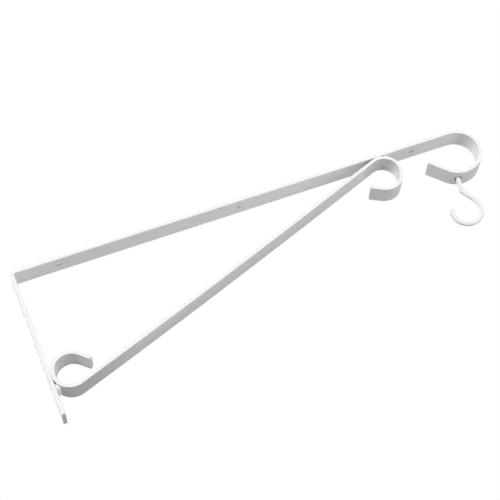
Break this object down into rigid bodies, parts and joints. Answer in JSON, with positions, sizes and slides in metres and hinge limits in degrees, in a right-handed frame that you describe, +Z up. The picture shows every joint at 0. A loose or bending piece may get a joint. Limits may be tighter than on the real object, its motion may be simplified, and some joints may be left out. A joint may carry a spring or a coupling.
{
  "type": "sign bracket",
  "caption": "White scrolled wall bracket of bent flat bar, with a scroll brace under its arm and a swivel hook at the nose.",
  "frame": {"origin": "on the wall face, midway between the two wall screw holes, in the middle of the bar's width", "axes": "+X runs out from the wall along the arm, +Y across the bar's width, +Z up"},
  "size_m": [0.4443, 0.016, 0.1454],
  "materials": {
    "bar_paint": "satin white powder coat",
    "weld_paint": "satin white powder coat over a rough weld bead",
    "hook_paint": "satin white powder coat"
  },
  "bodies": {
    "bracket": {"main_bar": "bar_paint", "scroll_brace": "bar_paint", "lower_weld": "weld_paint", "upper_weld": "weld_paint"},
    "hook": {"swivel_hook": "hook_paint"}
  },
  "joints": [
    {"name": "hook_swivel", "type": "hinge", "parent": "bracket", "child": "hook", "pos_m": [0.40728, 0, 0.03827], "axis": [0.342, 0, 0.9397], "continuous": true}
  ]
}
